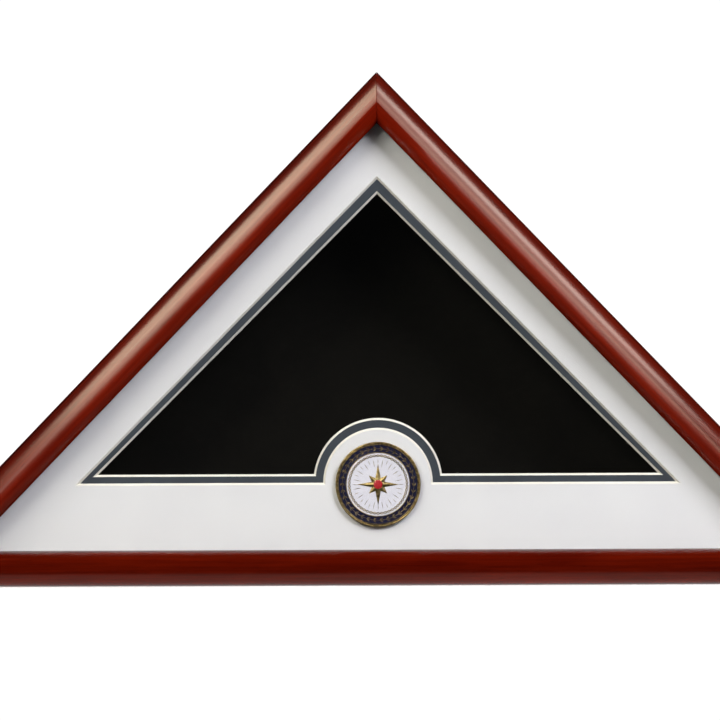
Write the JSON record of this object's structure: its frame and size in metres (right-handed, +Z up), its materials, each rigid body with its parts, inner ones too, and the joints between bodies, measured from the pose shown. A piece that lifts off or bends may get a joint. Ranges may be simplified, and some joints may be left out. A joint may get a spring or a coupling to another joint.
{
  "type": "folded flag display case",
  "caption": "Triangular wooden display case for a folded flag, with glass, a double mat with a round medallion, and a lined back panel held by turn buttons.",
  "frame": {"origin": "centre of the base, midway between the front of the rails and the rearmost hardware, on the surface that the case stands on", "axes": "+X to the right along the base, +Y to the rear, +Z up; the glazed front faces -Y"},
  "size_m": [0.66, 0.1057, 0.343],
  "materials": {
    "mahogany_wood": "red mahogany stain under satin lacquer",
    "window_glass": "clear, polished",
    "white_mat_board": "matte, smooth, with a cream bevel",
    "navy_mat_board": "matte, smooth, with a cream bevel",
    "antique_brass": "die cast, darkened in the hollows and polished on the high parts",
    "navy_enamel": "hard gloss enamel",
    "white_enamel": "hard gloss enamel",
    "red_enamel": "hard gloss enamel",
    "adhesive_foam": "matte",
    "black_foam_board": "matte",
    "hardboard": "tempered hardboard, smooth and slightly shiny",
    "black_velour": "short pile",
    "brass_plated_steel": "plated, satin",
    "zinc_steel": "zinc plated"
  },
  "bodies": {
    "case": {"rail_bottom": "mahogany_wood", "rail_left": "mahogany_wood", "rail_right": "mahogany_wood", "corner_v_nails": "zinc_steel", "glass": "window_glass", "spacer_bottom": "black_foam_board", "spacer_left": "black_foam_board", "spacer_right": "black_foam_board", "white_mat": "white_mat_board", "navy_mat": "navy_mat_board", "medallion_body": "antique_brass", "medallion_navy_enamel": "navy_enamel", "medallion_white_enamel": "white_enamel", "medallion_star": "antique_brass", "medallion_red_enamel": "red_enamel", "medallion_adhesive_pad": "adhesive_foam", "liner_bottom": "black_foam_board", "liner_left": "black_foam_board", "liner_right": "black_foam_board", "turn_button_screws": "brass_plated_steel", "hanger_strap_left": "zinc_steel", "hanger_strap_right": "zinc_steel", "hanger_screws": "zinc_steel"},
    "back": {"back_panel": "hardboard", "velour_lining": "black_velour"},
    "turn_button_1": {"turn_button_1": "brass_plated_steel"},
    "turn_button_2": {"turn_button_2": "brass_plated_steel"},
    "turn_button_3": {"turn_button_3": "brass_plated_steel"},
    "turn_button_4": {"turn_button_4": "brass_plated_steel"},
    "turn_button_5": {"turn_button_5": "brass_plated_steel"},
    "turn_button_6": {"turn_button_6": "brass_plated_steel"},
    "turn_button_7": {"turn_button_7": "brass_plated_steel"},
    "hanger_ring_left": {"hanger_ring_left": "zinc_steel"},
    "hanger_ring_right": {"hanger_ring_right": "zinc_steel"}
  },
  "joints": [
    {"name": "back_slide", "type": "slide", "parent": "case", "child": "back", "axis": [0, 1, 0], "range_m": [0, 0.15]},
    {"name": "turn_button_1_turn", "type": "hinge", "parent": "case", "child": "turn_button_1", "pos_m": [0.17, 0.04986, 0.013], "axis": [0, 1, 0], "continuous": true},
    {"name": "turn_button_2_turn", "type": "hinge", "parent": "case", "child": "turn_button_2", "pos_m": [0, 0.04986, 0.013], "axis": [0, 1, 0], "continuous": true},
    {"name": "turn_button_3_turn", "type": "hinge", "parent": "case", "child": "turn_button_3", "pos_m": [-0.17, 0.04986, 0.013], "axis": [0, 1, 0], "continuous": true},
    {"name": "turn_button_4_turn", "type": "hinge", "parent": "case", "child": "turn_button_4", "pos_m": [-0.2305, 0.04986, 0.08467], "axis": [0, 1, 0], "continuous": true},
    {"name": "turn_button_5_turn", "type": "hinge", "parent": "case", "child": "turn_button_5", "pos_m": [-0.1293, 0.04986, 0.18986], "axis": [0, 1, 0], "continuous": true},
    {"name": "turn_button_6_turn", "type": "hinge", "parent": "case", "child": "turn_button_6", "pos_m": [0.1293, 0.04986, 0.18986], "axis": [0, 1, 0], "continuous": true},
    {"name": "turn_button_7_turn", "type": "hinge", "parent": "case", "child": "turn_button_7", "pos_m": [0.2305, 0.04986, 0.08467], "axis": [0, 1, 0], "continuous": true},
    {"name": "hanger_ring_left_swing", "type": "hinge", "parent": "case", "child": "hanger_ring_left", "pos_m": [-0.06978, 0.05106, 0.25749], "axis": [0.7206, 0, -0.6933], "range_deg": [0, 170]},
    {"name": "hanger_ring_right_swing", "type": "hinge", "parent": "case", "child": "hanger_ring_right", "pos_m": [0.06978, 0.05106, 0.25749], "axis": [0.7206, 0, 0.6933], "range_deg": [0, 170]}
  ]
}
